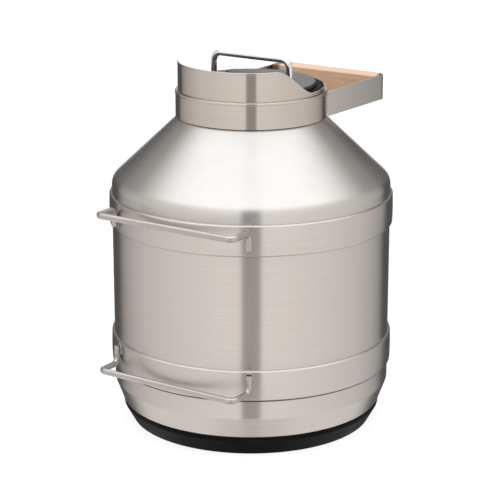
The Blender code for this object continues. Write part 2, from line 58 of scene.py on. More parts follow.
# Shapes that the frame's boxes don't state, in millimetres. EDGE, ROUND, CORNER and BEND are bend
# radii, and HEM is the height of a rolled edge.
HOLD_REACH = 0.4
TOUCH_GAP = 0.1
SAME_PLACE = 0.01
SHEET = 1.2
SHEET_EDGE = 0.3
BOOT_INNER_R = 148.0
BOOT_FOOT_R = 157.6
BOOT_EDGE = 1.0
BOOT_WAIST_ROUND = 6.0
BOOT_LIP = 5.3
BOOT_LIP_EDGE = 0.9
PAN_FOOT_R = 169.2
PAN_FOOT_ROUND = 2.6
PAN_FLARE_HEIGHT = 29.0
PAN_FLARE_ROUND = 10.0
HOOP_TOP_SLOPE = 2.4
HOOP_FOOT_SLOPE = 2.0
HOOP_SLOPE_LEAN = math.radians(45)
HOOP_CROWN = 0.5
SHOULDER_ROUND = 18.0
CONE_ANGLE = math.radians(46.5)
CONE_TOP_R = 94.8
COLLAR_THICK = 1.5
COLLAR_HEM = 4.0
COLLAR_PROUD = 0.5
HEM_FOOT_EDGE = 1.0
HEM_SWELL_EDGE = 0.6
RIM_HEM = 2.6
RIM_PROUD = 0.3
RIM_GAP = 0.15
RIM_HIGH_HALF_ANGLE = math.radians(53)
RIM_LOW_HALF_ANGLE = math.radians(89)
WIRE_R = 4.0
WIRE_BEND = 9.0
ROD_EASE = 0.8
WELD_R = 1.1
WELD_LENGTH = 11.0
WELD_SINK = 0.3
WELD_OVERLAP = 0.2
STRAP_THICK = 2.0
STRAP_BEND = 10.0
STRAP_EDGE = 0.5
STRAP_ROOT_RISE = 1.4
BAR_NEAR_CORNER = 3.0
BAR_FAR_CORNER = 16.0
BAR_EDGE = 1.8
SCREW_SHANK_R = 2.0
SCREW_TIP = 0.4
SEAM_R = 1.4
LID_ROUND = 2.4
LID_EDGE = 0.4
LID_SKIRT_THICK = 1.2
GASKET_GROOVE = 1.4
GASKET_GROOVE_EDGE = 0.6
GASKET_LIP = 4.0
GASKET_LIP_EDGE = 0.8
GASKET_FOOT_ROUND = 1.6
GASKET_TOP_ROUND = 1.8
BOSS_ROUND = 1.6
HANDLE_R = 4.0
HANDLE_BEND = 11.0
HANDLE_EASE = 0.3

# The camera, in radians, metres and millimetres of lens
VIEW_AZIMUTH = math.radians(33.5)
VIEW_ELEVATION = math.radians(16.18)
VIEW_DISTANCE = 2.417
VIEW_HEIGHT = 0.2215
VIEW_LENS = 133.03
VIEW_SHIFT = -0.0023


# ---------------------------------------------------------------- places from the frame


def low(node, axis):
    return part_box(node)[0]["xyz".index(axis)] / MM


def high(node, axis):
    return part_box(node)[1]["xyz".index(axis)] / MM


def middle(node, axis):
    return (low(node, axis) + high(node, axis)) / 2


# ---------------------------------------------------------------- mesh helpers


def arc_corner(before, corner, after, bend_r, steps):
    """Points of the arc that rounds a corner, with a point just before and after it to hold it."""
    back = (before - corner).normalized()
    ahead = (after - corner).normalized()
    half = back.angle(ahead) / 2
    centre = corner + (back + ahead).normalized() * (bend_r / math.sin(half))
    reach = bend_r / math.tan(half)
    start = (corner + back * reach - centre).normalized()
    end = (corner + ahead * reach - centre).normalized()
    hold = min(0.25 * bend_r, HOLD_REACH)
    points = [corner + back * (reach + hold)]
    for step in range(steps + 1):
        points.append(centre + start.slerp(end, step / steps) * bend_r)
    points.append(corner + ahead * (reach + hold))
    return points


def rounded(corners, closed, steps=6):
    """A line through (x, y, z, bend radius) corners; a bend radius of zero keeps the corner."""
    points = []
    count = len(corners)
    for index, (x, y, z, bend_r) in enumerate(corners):
        corner = Vector((x, y, z))
        inner = closed or 0 < index < count - 1
        if bend_r > 0 and inner:
            before = Vector(corners[index - 1][:3])
            after = Vector(corners[(index + 1) % count][:3])
            points += arc_corner(before, corner, after, bend_r, steps)
        else:
            points.append(corner)
    return points


def section(corners, steps=5, closed=True):
    """A (radius, height) outline from (radius, height, bend radius) corners."""
    line = rounded([(radius, 0, height, bend) for radius, height, bend in corners], closed, steps)
    return [(point.x, point.z) for point in line]


def open_section(corners, steps=8):
    return section(corners, steps, closed=False)


def offset(outline, distance):
    """Shift an open (radius, height) outline to the left of its direction."""
    shifted = []
    last = len(outline) - 1
    for index, (radius, height) in enumerate(outline):
        before = outline[max(index - 1, 0)]
        after = outline[min(index + 1, last)]
        along_r = after[0] - before[0]
        along_z = after[1] - before[1]
        length = math.hypot(along_r, along_z)
        shifted.append((radius - along_z / length * distance, height + along_r / length * distance))
    return shifted


def sheet(outline):
    """Give an open outline the thickness of the can's sheet."""
    return outline + offset(outline, SHEET)[::-1]


def bridge(bm, here, there):
    """Join two rings of the same number of points by a band of faces."""
    count = len(here)
    for index in range(count):
        after = (index + 1) % count
        bm.faces.new((here[index], here[after], there[after], there[index]))


def stacked(bm, rings):
    """Join each ring to the next."""
    for here, there in zip(rings, rings[1:]):
        bridge(bm, here, there)


def capped(bm, rings):
    """Join each ring to the next and close both ends with a flat face."""
    stacked(bm, rings)
    bm.faces.new(rings[0])
    bm.faces.new(rings[-1])
    return bm


def round_place(radius, angle, height):
    return (radius * math.cos(angle), radius * math.sin(angle), height)


def turned_by(outline_at, steps=TURN_STEPS):
    """A ring of closed outlines round +Z; the outline may change with the angle."""
    bm = bmesh.new()
    rings = []
    for step in range(steps):
        angle = 2 * math.pi * step / steps
        places = [round_place(radius, angle, height) for radius, height in outline_at(angle)]
        rings.append([bm.verts.new(place) for place in places])
    stacked(bm, rings)
    bridge(bm, rings[-1], rings[0])
    return bm


def turned(outline):
    """A closed outline turned round +Z."""
    return turned_by(lambda angle: outline)


def turned_disc(outline):
    """A solid of revolution whose open (radius, height) outline starts and ends on the axis."""
    bm = bmesh.new()
    first = bm.verts.new((0, 0, outline[0][1]))
    last = bm.verts.new((0, 0, outline[-1][1]))
    angles = [2 * math.pi * step / TURN_STEPS for step in range(TURN_STEPS)]
    rings = []
    for radius, height in outline[1:-1]:
        rings.append([bm.verts.new(round_place(radius, angle, height)) for angle in angles])
    stacked(bm, rings)
    for step in range(TURN_STEPS):
        after = (step + 1) % TURN_STEPS
        bm.faces.new((first, rings[0][step], rings[0][after]))
        bm.faces.new((last, rings[-1][after], rings[-1][step]))
    return bm


def swept(path, outline_at, up=None):
    """A closed outline of (sideways, upwards) points carried along a path, with flat ends."""
    bm = bmesh.new()
    last = len(path) - 1
    side = None
    rings = []
    for index, point in enumerate(path):
        tangent = (path[min(index + 1, last)] - path[max(index - 1, 0)]).normalized()
        if up is not None:
            side = tangent.cross(up).normalized()
        elif side is None:
            side = tangent.orthogonal().normalized()
        side = (side - tangent * side.dot(tangent)).normalized()
        other = side.cross(tangent)
        rings.append([bm.verts.new(point + side * u + other * v) for u, v in outline_at(index)])
    return capped(bm, rings)


def circle(radius, sides):
    """A round outline with a flat, not a corner, across its first axis."""
    points = []
    for step in range(sides):
        angle = 2 * math.pi * (step + 0.5) / sides
        points.append((radius * math.cos(angle), radius * math.sin(angle)))
    return points


def eased_ends(path, ease):
    """Add points at both ends of a path, so that a rod's ends can be rounded over."""
    tail = []
    for step in range(1, ROD_EASE_STEPS):
        tail.append(ease * (1 - math.cos(math.pi / 2 * step / ROD_EASE_STEPS)))
    start_way = (path[1] - path[0]).normalized()
    end_way = (path[-2] - path[-1]).normalized()
    front = [path[0]] + [path[0] + start_way * reach for reach in tail + [ease]]
    back = [path[-1] + end_way * reach for reach in [ease] + tail[::-1]] + [path[-1]]
    return front + path[1:-1] + back


def rod(path, radius, ease, sides):
    """A round rod with eased ends."""
    line = eased_ends(path, ease)
    last = len(line) - 1

    def outline_at(index):
        from_end = min(index, last - index)
        lean = math.pi / 2 * min(from_end / ROD_EASE_STEPS, 1.0)
        return circle(radius - ease * (1 - math.sin(lean)), sides)

    return swept(line, outline_at)


def bead(path, radius, thin, growth, ripples):
    """A rippled weld bead that starts and ends thin; each ripple is (depth, pace, phase)."""
    last = len(path) - 1

    def outline_at(index):
        taper = min(1.0, thin + growth * min(index, last - index))
        ripple = 1.0
        for depth, pace, phase in ripples:
            ripple += depth * math.sin(index * pace + phase)
        return circle(radius * taper * ripple, sides=14)

    return swept(path, outline_at)


def make_piece(bm, node, body, material):
    """Turn a bmesh in millimetres into a piece that rides on a body and stands for a CAD node."""
    name = node + "_visual"
    bm.normal_update()
    bmesh.ops.recalc_face_normals(bm, faces=bm.faces)
    bm.transform(Matrix.Scale(MM, 4))
    mesh = bpy.data.meshes.new(name)
    bm.to_mesh(mesh)
    bm.free()
    mesh.shade_smooth()
    mesh.set_sharp_from_angle(angle=SHARP_ANGLE)
    mesh.materials.append(material)
    piece = bpy.data.objects.new(name, mesh)
    bpy.context.scene.collection.objects.link(piece)
    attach(piece, body)
    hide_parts(node)


# ---------------------------------------------------------------- material helpers


def add(tree, kind, inputs=None, **settings):
    """Add a node, set its properties, and fill or link its inputs."""
    made = tree.nodes.new(kind)
    for key, value in settings.items():
        setattr(made, key, value)
    for key, value in (inputs or {}).items():
        if isinstance(value, bpy.types.NodeSocket):
            tree.links.new(value, made.inputs[key])
        else:
            made.inputs[key].default_value = value
    return made


def start_material(name):
    """A material with its tree, its Principled BSDF and the piece's own coordinates."""
    material = bpy.data.materials.new(name)
    material.use_nodes = True
    tree = material.node_tree
    shader = tree.nodes["Principled BSDF"]
    point = add(tree, "ShaderNodeTexCoord").outputs["Object"]
    return material, tree, shader, point


def finish_material(tree, shader, colour, roughness, metallic=0.0, specular=0.5):
    """Link the colour and roughness, and set what is the same all over."""
    tree.links.new(colour, shader.inputs["Base Color"])
    tree.links.new(roughness, shader.inputs["Roughness"])
    shader.inputs["Metallic"].default_value = metallic
    shader.inputs["Specular IOR Level"].default_value = specular


def maths(tree, operation, first, second=0.0, third=0.0):
    made = add(tree, "ShaderNodeMath", {0: first, 1: second, 2: third}, operation=operation)
    return made.outputs[0]


def scaled(tree, value, factor, base):
    """A value times a factor, plus a base."""
    return maths(tree, "MULTIPLY_ADD", value, factor, base)


def spread(tree, value, from_low, from_high, to_low=0.0, to_high=1.0, curve="LINEAR"):
    """Map a value from one range to another, held at both ends."""
    inputs = {"Value": value, "From Min": from_low, "From Max": from_high}
    inputs.update({"To Min": to_low, "To Max": to_high})
    return add(tree, "ShaderNodeMapRange", inputs, interpolation_type=curve).outputs["Result"]


def eased(tree, value, from_low, from_high, to_low=0.0, to_high=1.0):
    """Like spread, but with a smooth start and end."""
    return spread(tree, value, from_low, from_high, to_low, to_high, "SMOOTHSTEP")


def axes(tree, vector):
    """The X, Y and Z of a vector."""
    parts = add(tree, "ShaderNodeSeparateXYZ", {0: vector}).outputs
    return parts["X"], parts["Y"], parts["Z"]


def vector_of(tree, x, y, z=0.0):
    return add(tree, "ShaderNodeCombineXYZ", {0: x, 1: y, 2: z}).outputs[0]


def measure(tree, operation, first, second=(0.0, 0.0, 0.0)):
    """One number from vectors: a length, a distance or a dot product."""
    made = add(tree, "ShaderNodeVectorMath", {0: first, 1: second}, operation=operation)
    return made.outputs["Value"]


def stretched(tree, vector, scale):
    return add(tree, "ShaderNodeVectorMath", {0: vector, 1: scale}, operation="MULTIPLY").outputs[0]


def noise(tree, vector, scale, detail=2.0, roughness=0.5):
    """Noise of so many features per metre, or per unit of a stretched vector."""
    inputs = {"Vector": vector, "Scale": scale, "Detail": detail, "Roughness": roughness}
    return add(tree, "ShaderNodeTexNoise", inputs).outputs["Fac"]


def blend_colours(tree, share, first, second):
    """The first colour at a share of zero and the second at one; each is a socket or a tuple."""
    made = add(tree, "ShaderNodeMix", data_type="RGBA")
    for index, value in ((0, share), (6, first), (7, second)):
        if isinstance(value, bpy.types.NodeSocket):
            tree.links.new(value, made.inputs[index])
        elif index == 0:
            made.inputs[index].default_value = value
        else:
            made.inputs[index].default_value = (*value, 1.0)
    return made.outputs[2]


def bump(tree, shader, height, strength, distance):
    inputs = {"Height": height, "Strength": strength, "Distance": distance}
    made = add(tree, "ShaderNodeBump", inputs)
    tree.links.new(made.outputs["Normal"], shader.inputs["Normal"])


# ---------------------------------------------------------------- materials

# Linear colours
STEEL = (0.620, 0.564, 0.519)
CONE_STEEL = (0.620, 0.578, 0.534)
NECK_STEEL = (0.580, 0.506, 0.448)
STRAP_STEEL = (0.670, 0.610, 0.560)
WIRE_STEEL = (0.480, 0.449, 0.424)
HEAT_TINT = (0.30, 0.245, 0.20)
# painted shade for the rings just under the hoops
CREASE_SHADE = (0.075, 0.062, 0.050)
WELD_DARK = (0.36, 0.33, 0.30)
WELD_BRIGHT = (0.48, 0.45, 0.42)
COVER_DARK = (0.070, 0.070, 0.071)
COVER_PALE = (0.090, 0.090, 0.090)
COVER_MARK = (0.060, 0.060, 0.061)
CHROME_CLEAN = (0.83, 0.83, 0.84)
CHROME_HANDLED = (0.76, 0.765, 0.78)
SCREW_BRIGHT = (0.60, 0.59, 0.57)
SCREW_DULL = (0.48, 0.47, 0.45)
WOOD_PALE = (0.76, 0.52, 0.35)
WOOD_GRAIN = (0.60, 0.37, 0.225)
WOOD_WARM = (0.68, 0.43, 0.275)
WOOD_FLECK = (0.42, 0.25, 0.14)
# painted shadow for the bar's left end
WOOD_END_SHADE = (0.085, 0.050, 0.030)
PLASTIC_BLACK = (0.004, 0.004, 0.004)
PLASTIC_SCUFFED = (0.010, 0.010, 0.009)
RUBBER_BLACK = (0.004, 0.004, 0.005)
RUBBER_BLOOM = (0.010, 0.010, 0.011)
GLOSS_BLACK = (0.010, 0.010, 0.011)
GLOSS_CLOUDED = (0.020, 0.020, 0.021)

BODY_ROUGH = 0.25
CONE_ROUGH = 0.27
NECK_ROUGH = 0.21
STRAP_ROUGH = 0.33
WIRE_ROUGH = 0.28
CONE_GRAIN = 0.35

# Painted shade under the two hoops' overhangs, as (reach in metres, depth), and how many
# millimetres the lower one sits below its hoop
UPPER_CREASE = (0.0012, 0.2)
LOWER_CREASE = (0.0019, 1.0)
CREASE_DROP = 0.3

# Heat colour beside the welds: millimetres from the wire's end, and its reach in metres
HEAT_RISE = 6.0
HEAT_REACH = 0.009

# Where the painted shade at the strap's bends and at the bar's left end fades out, in metres from
# the corner or the end
BEND_DARK = (0.0112, 0.0130)
END_SHADE_FADE = (0.011, 0.018)


def shade(colour, factor):
    return tuple(factor * part for part in colour)


def steel_surface(tree, shader, point, lines, base, rough, grain=1.0):
    """Colour, roughness and bump of brushed steel; lines is the stretched vector of the brushing
    and grain is how strongly the brushing shows."""
    brushed = noise(tree, lines, 1.0, detail=3.0, roughness=0.6)
    smudges = noise(tree, point, 9.0, detail=3.0, roughness=0.55)
    clouds = noise(tree, point, 28.0)
    cool = (0.97 * base[0], 0.985 * base[1], base[2])
    colour = blend_colours(tree, spread(tree, smudges, 0.35, 0.65), base, cool)
    worn = spread(tree, brushed, 0.35, 0.75)
    colour = blend_colours(tree, worn, colour, shade(base, 1 - 0.06 * grain))
    roughness = scaled(tree, brushed, 0.10 * grain, rough - 0.05 * grain)
    roughness = scaled(tree, clouds, 0.05, maths(tree, "SUBTRACT", roughness, 0.025))
    bump(tree, shader, brushed, 0.015 * grain, 0.0002)
    return colour, roughness


def ring_brushed(name, base, rough, grain=1.0, crease=None, tints=()):
    """Steel brushed round the can's axis. The crease is a (height, reach, depth) ring of painted
    shade just under a hoop, and tints are the places of heat colour beside a weld, in metres."""
    material, tree, shader, point = start_material(name)
    lines = stretched(tree, point, (5.0, 5.0, 900.0))
    colour, roughness = steel_surface(tree, shader, point, lines, base, rough, grain)
    if crease:
        height, reach, depth = crease
        away = maths(tree, "ABSOLUTE", maths(tree, "SUBTRACT", axes(tree, point)[2], height))
        near = maths(tree, "MULTIPLY", eased(tree, away, 0.3 * reach, reach, 1.0, 0.0), depth)
        # painted shade: darken the steel in a ring just under the hoop
        colour = blend_colours(tree, near, colour, CREASE_SHADE)
        roughness = scaled(tree, near, 0.2, roughness)
    for place in tints:
        away = measure(tree, "DISTANCE", point, place)
        ragged = scaled(tree, noise(tree, point, 260.0), 0.004, away)
        near = eased(tree, ragged, 0.3 * HEAT_REACH, HEAT_REACH, 0.2, 0.0)
        colour = blend_colours(tree, near, colour, HEAT_TINT)
    finish_material(tree, shader, colour, roughness, metallic=1.0)
    shader.inputs["Anisotropic"].default_value = 1.0
    shader.inputs["Anisotropic Rotation"].default_value = 0.25
    around = add(tree, "ShaderNodeTangent", direction_type="RADIAL", axis="Z")
    tree.links.new(around.outputs["Tangent"], shader.inputs["Tangent"])
    return material


def drawn_wire():
    """Plain drawn wire: bright, with fine marks along and faint dull patches."""
    material, tree, shader, point = start_material("wire_steel")
    lines = stretched(tree, point, (40.0, 400.0, 400.0))
    colour, roughness = steel_surface(tree, shader, point, lines, WIRE_STEEL, WIRE_ROUGH)
    finish_material(tree, shader, colour, roughness, metallic=1.0)
    return material


def strap_steel():
    """Flat stock brushed along its length, with a painted reflection of the collar that fades
    darker towards the bar, and painted shade along its bends."""
    material, tree, shader, point = start_material("strap_steel")
    lines = stretched(tree, point, (6.0, 6.0, 900.0))
    colour, roughness = steel_surface(tree, shader, point, lines, STRAP_STEEL, STRAP_ROUGH)
    x, y, _ = axes(tree, point)
    collar_y = low("grip_strap", "y") * MM
    far_y = high("grip_strap", "y") * MM
    # painted reflection: lighter by the collar, darker towards the bar
    collar_reflection_fade = maths(tree, "MULTIPLY", spread(tree, y, collar_y, far_y), 0.9)
    colour = blend_colours(tree, collar_reflection_fade, colour, shade(STRAP_STEEL, 0.56))
    mirrored = vector_of(tree, maths(tree, "ABSOLUTE", x), y)
    away = measure(tree, "DISTANCE", mirrored, (high("grip_strap", "x") * MM, far_y, 0.0))
    # painted shade along the strap's two bends
    bent = eased(tree, away, *BEND_DARK, 0.6, 0.0)
    colour = blend_colours(tree, bent, colour, shade(STRAP_STEEL, 0.25))
    finish_material(tree, shader, colour, roughness, metallic=1.0)
    return material


def weld_steel():
    """A weld bead: rippled steel, patchy from the heat."""
    material, tree, shader, point = start_material("weld_steel")
    ripples = noise(tree, point, 700.0)
    heat = noise(tree, point, 180.0)
    colour = blend_colours(tree, spread(tree, heat, 0.35, 0.65), WELD_DARK, WELD_BRIGHT)
    roughness = spread(tree, ripples, 0.3, 0.7, 0.34, 0.52)
    finish_material(tree, shader, colour, roughness, metallic=1.0)
    bump(tree, shader, ripples, 0.35, 0.0004)
    return material


def lid_steel():
    """Darkened satin cover, finished in circles round its middle."""
    material, tree, shader, point = start_material("lid_steel")
    x, y, _ = axes(tree, point)
    across = measure(tree, "LENGTH", vector_of(tree, x, y))
    lines = stretched(tree, vector_of(tree, x, y, across), (12.0, 12.0, 900.0))
    marks = noise(tree, lines, 1.0, detail=3.0, roughness=0.6)
    clouds = noise(tree, point, 24.0, detail=3.0)
    colour = blend_colours(tree, spread(tree, clouds, 0.35, 0.65), COVER_DARK, COVER_PALE)
    colour = blend_colours(tree, spread(tree, marks, 0.4, 0.8, 0.0, 0.6), colour, COVER_MARK)
    roughness = scaled(tree, marks, 0.10, scaled(tree, clouds, 0.06, 0.29))
    finish_material(tree, shader, colour, roughness, metallic=1.0)
    bump(tree, shader, marks, 0.05, 0.0002)
    return material


def chrome():
    """Polished wire with faint handling marks."""
    material, tree, shader, point = start_material("chrome")
    hairs = noise(tree, stretched(tree, point, (60.0, 700.0, 700.0)), 1.0)
    prints = noise(tree, point, 60.0)
    colour = blend_colours(tree, spread(tree, prints, 0.4, 0.7), CHROME_CLEAN, CHROME_HANDLED)
    roughness = scaled(tree, prints, 0.08, scaled(tree, hairs, 0.06, 0.01))
    finish_material(tree, shader, colour, roughness, metallic=1.0)
    bump(tree, shader, hairs, 0.03, 0.0001)
    return material


def screw_steel():
    """Plain bright screws with fine marks."""
    material, tree, shader, point = start_material("screw_steel")
    marks = noise(tree, point, 500.0)
    colour = blend_colours(tree, marks, SCREW_BRIGHT, SCREW_DULL)
    finish_material(tree, shader, colour, spread(tree, marks, 0.3, 0.7, 0.22, 0.38), metallic=1.0)
    bump(tree, shader, marks, 0.05, 0.0002)
    return material


def wood():
    """Pale oiled beech: long grain along X, short dark flecks, a slow change of tone, and painted
    shadow at the left end, where the strap's arm shades the bar."""
    material, tree, shader, point = start_material("wood")
    x, y, z = axes(tree, point)
    wander = noise(tree, stretched(tree, point, (5.0, 30.0, 30.0)), 1.0)
    grain_at = vector_of(tree, x, scaled(tree, wander, 0.012, y), z)
    lines = stretched(tree, grain_at, (7.0, 260.0, 200.0))
    grain = noise(tree, lines, 1.0, detail=4.0, roughness=0.6)
    flecks = noise(tree, stretched(tree, point, (180.0, 1500.0, 1200.0)), 1.0, detail=1.0)
    tone = noise(tree, stretched(tree, point, (14.0, 40.0, 40.0)), 1.0)
    colour = blend_colours(tree, spread(tree, grain, 0.32, 0.68), WOOD_PALE, WOOD_GRAIN)
    colour = blend_colours(tree, spread(tree, tone, 0.35, 0.65, 0.0, 0.45), colour, WOOD_WARM)
    colour = blend_colours(tree, spread(tree, flecks, 0.66, 0.78, 0.0, 0.55), colour, WOOD_FLECK)
    left_end = low("grip_bar", "x") * MM
    fade_from, fade_to = (left_end + reach for reach in END_SHADE_FADE)
    # painted shadow: the bar's left end darkened where the strap's arm shades it
    end_shade = eased(tree, scaled(tree, wander, 0.004, x), fade_from, fade_to, 0.94, 0.0)
    colour = blend_colours(tree, end_shade, colour, WOOD_END_SHADE)
    roughness = spread(tree, grain, 0.3, 0.7, 0.32, 0.48)
    finish_material(tree, shader, colour, roughness, specular=0.85)
    bump(tree, shader, grain, 0.12, 0.0004)
    return material


def black_plastic():
    """Moulded satin black with a fine grain and pale scuffs."""
    material, tree, shader, point = start_material("black_plastic")
    grain = noise(tree, point, 1400.0)
    scuffs = noise(tree, stretched(tree, point, (30.0, 30.0, 120.0)), 1.0, detail=3.0)
    colour = blend_colours(tree, spread(tree, scuffs, 0.55, 0.75), PLASTIC_BLACK, PLASTIC_SCUFFED)
    roughness = spread(tree, scuffs, 0.3, 0.7, 0.38, 0.52)
    finish_material(tree, shader, colour, roughness, specular=0.05)
    bump(tree, shader, grain, 0.12, 0.0003)
    return material


def black_rubber():
    """Matt rubber with a fine grain and a little pale bloom."""
    material, tree, shader, point = start_material("black_rubber")
    grain = noise(tree, point, 900.0)
    bloom = noise(tree, point, 70.0, detail=3.0)
    colour = blend_colours(tree, spread(tree, bloom, 0.45, 0.75), RUBBER_BLACK, RUBBER_BLOOM)
    roughness = spread(tree, bloom, 0.3, 0.7, 0.42, 0.58)
    finish_material(tree, shader, colour, roughness, specular=0.02)
    bump(tree, shader, grain, 0.12, 0.0003)
    return material


def black_gloss():
    """Satin-gloss black moulding with faint rub marks along its length."""
    material, tree, shader, point = start_material("black_gloss")
    rubs = noise(tree, stretched(tree, point, (40.0, 500.0, 500.0)), 1.0)
    colour = blend_colours(tree, noise(tree, point, 80.0), GLOSS_BLACK, GLOSS_CLOUDED)
    roughness = spread(tree, rubs, 0.3, 0.7, 0.22, 0.34)
    finish_material(tree, shader, colour, roughness, specular=0.09)
    bump(tree, shader, rubs, 0.04, 0.0002)
    return material


# ---------------------------------------------------------------- can


def build_boot(material):
    outer_r = high("base_boot", "x")
    top = high("base_boot", "z")
    outline = section([
        (BOOT_INNER_R, 0.0, BOOT_EDGE),
        (BOOT_FOOT_R, 0.0, BOOT_EDGE),
        (outer_r, top - BOOT_LIP, BOOT_WAIST_ROUND),
        (outer_r, top, BOOT_LIP_EDGE),
        (BOOT_INNER_R, top, BOOT_EDGE),
    ], steps=8)
    make_piece(turned(outline), "base_boot", "can", material)


def build_pan(material):
    wall_r = high("base_pan", "x")
    floor = low("base_pan", "z")
    outer = open_section([
        (0.0, floor, 0.0),
        (PAN_FOOT_R, floor, PAN_FOOT_ROUND),
        (wall_r, floor + PAN_FLARE_HEIGHT, PAN_FLARE_ROUND),
        (wall_r, high("base_pan", "z"), 0.0),
    ])
    inner = offset(outer, SHEET)
    inner[0] = (0.0, floor + SHEET)
    make_piece(turned_disc(outer + inner[::-1]), "base_pan", "can", material)


def build_shell(material):
    wall_r = high("body_shell", "x")
    outline = sheet([(wall_r, low("body_shell", "z")), (wall_r, high("body_shell", "z"))])
    make_piece(turned(outline), "body_shell", "can", material)


def hoop_edge(foot_r, face_r, height):
    """Radius and rise of a band's edge: a slope off the wall that eases into the band's face."""
    points = []
    for step in range(HOOP_STEPS + 1):
        turn = HOOP_SLOPE_LEAN + (math.pi / 2 - HOOP_SLOPE_LEAN) * step / HOOP_STEPS
        out = (math.sin(turn) - math.sin(HOOP_SLOPE_LEAN)) / (1 - math.sin(HOOP_SLOPE_LEAN))
        rise = 1 - math.cos(turn) / math.cos(HOOP_SLOPE_LEAN)
        points.append((foot_r + (face_r - foot_r) * out, height * rise))
    return points


def build_hoop(node, material):
    """A sheet band whose face is very slightly crowned and whose edges slope in to the wall."""
    face_r = high(node, "x") - HOOP_CROWN
    foot_r = high("body_shell", "x") + TOUCH_GAP
    bottom = low(node, "z")
    top = high(node, "z")
    outer = [(radius, bottom + rise) for radius, rise in hoop_edge(foot_r, face_r, HOOP_FOOT_SLOPE)]
    face_low = bottom + HOOP_FOOT_SLOPE
    face_high = top - HOOP_TOP_SLOPE
    for step in range(1, HOOP_STEPS):
        share = step / HOOP_STEPS
        bulge = HOOP_CROWN * (1 - (2 * share - 1) ** 2)
        outer.append((face_r + bulge, face_low + (face_high - face_low) * share))
    upper = hoop_edge(foot_r, face_r, HOOP_TOP_SLOPE)
    outer += [(radius, top - rise) for radius, rise in reversed(upper)]
    inner = [(max(radius, foot_r), height) for radius, height in offset(outer, SHEET)]
    make_piece(turned(outer + inner[::-1]), node, "can", material)


def build_shoulder(material):
    wall_r = high("shoulder_cone", "x")
    cone_top = high("shoulder_cone", "z")
    corner_z = cone_top - (wall_r - CONE_TOP_R) / math.tan(CONE_ANGLE)
    outline = sheet(open_section([
        (wall_r, low("shoulder_cone", "z"), 0.0),
        (wall_r, corner_z, SHOULDER_ROUND),
        (CONE_TOP_R, cone_top, 0.0),
    ], steps=20))
    make_piece(turned(outline), "shoulder_cone", "can", material)


def hem_corners(outer_r, inner_r, top, height, proud, inner_reach):
    """Corners of a rolled top edge, up the outer face and down the inner face. The roll swells
    out over its lowest third, and its top is well rounded."""
    swell = top - 0.7 * height
    roll_r = outer_r + proud
    throat_r = inner_r - inner_reach
    roll = min(0.45 * (roll_r - throat_r), 0.4 * height)
    return [
        (outer_r, top - height, HEM_FOOT_EDGE),
        (roll_r, swell, HEM_SWELL_EDGE),
        (roll_r, top, roll),
        (throat_r, top, roll),
        (throat_r, swell, HEM_SWELL_EDGE),
        (inner_r, top - height, HEM_FOOT_EDGE),
    ]


def build_collar(material):
    """The collar's rolled top edge leans in until it all but touches the pouring rim."""
    outer_r = high("neck_collar", "x") - COLLAR_PROUD
    inner_r = outer_r - COLLAR_THICK
    inner_reach = inner_r - high("pouring_rim", "x") + RIM_PROUD - RIM_GAP
    foot = low("neck_collar", "z")
    top = high("neck_collar", "z")
    corners = [(inner_r, foot, SHEET_EDGE), (outer_r, foot, SHEET_EDGE)]
    corners += hem_corners(outer_r, inner_r, top, COLLAR_HEM, COLLAR_PROUD, inner_reach)
    make_piece(turned(section(corners, steps=6)), "neck_collar", "can", material)


def rim_drop(angle):
    """Zero on the pouring side at -Y, one over the grip side, smooth between."""
    from_pour = abs(math.remainder(angle + math.pi / 2, 2 * math.pi))
    share = (from_pour - RIM_HIGH_HALF_ANGLE) / (RIM_LOW_HALF_ANGLE - RIM_HIGH_HALF_ANGLE)
    share = min(max(share, 0.0), 1.0)
    return share * share * (3 - 2 * share)


def build_rim(material):
    """The pouring rim, high at -Y and just above the lid's gasket over the grip."""
    outer_r = high("pouring_rim", "x") - RIM_PROUD
    inner_r = outer_r - SHEET
    foot = low("pouring_rim", "z")
    high_top = high("pouring_rim", "z")
    low_top = high("lid_gasket", "z") + TOUCH_GAP

    def outline_at(angle):
        top = high_top + (low_top - high_top) * rim_drop(angle)
        corners = [(inner_r, foot, SHEET_EDGE), (outer_r, foot, SHEET_EDGE)]
        corners += hem_corners(outer_r, inner_r, top, RIM_HEM, RIM_PROUD, RIM_PROUD)
        return section(corners, steps=4)

    bm = turned_by(outline_at, 2 * TURN_STEPS)
    make_piece(bm, "pouring_rim", "can", material)


def wire_corners(node, bar_z, leg_z):
    """A handle's wire from one leg's free end, out, across and back to the other leg's."""
    half = high(node, "x") - WIRE_R
    root_y = high(node, "y") - WIRE_R
    reach_y = low(node, "y") + WIRE_R
    return [
        (half, root_y, leg_z, 0.0),
        (half, root_y, bar_z, WIRE_BEND),
        (half, reach_y, bar_z, WIRE_BEND),
        (-half, reach_y, bar_z, WIRE_BEND),
        (-half, root_y, bar_z, WIRE_BEND),
        (-half, root_y, leg_z, 0.0),
    ]


def build_wire(node, bar_z, leg_z, material):
    path = rounded(wire_corners(node, bar_z, leg_z), closed=False, steps=14)
    make_piece(rod(path, WIRE_R, ROD_EASE, sides=32), node, "can", material)


def weld_path(x, root_y, end_z, direction):
    """A U round the free end of a wire leg, lying on the hoop's face."""
    out = Vector((x, root_y, 0)).normalized()
    centre = Vector((x, root_y, end_z)) - out * (WIRE_R - WELD_SINK)
    reach = WIRE_R - WELD_OVERLAP
    aside = Vector((-out.y, out.x, 0)) * reach
    up = Vector((0, 0, -direction))
    run = up * (0.98 * WELD_LENGTH)
    sag = up * (0.4 * reach)
    line = [centre + aside + up * WELD_LENGTH]
    steps = 28
    run_share = 0.35
    for step in range(steps + 1):
        share = step / steps
        if share < run_share:
            line.append(centre + aside + run * (1 - share / run_share))
        elif share > 1 - run_share:
            line.append(centre - aside + run * (1 - (1 - share) / run_share))
        else:
            turn = math.pi * (share - run_share) / (1 - 2 * run_share)
            line.append(centre + aside * math.cos(turn) - sag * math.sin(turn))
    line.append(centre - aside + up * WELD_LENGTH)
    return line


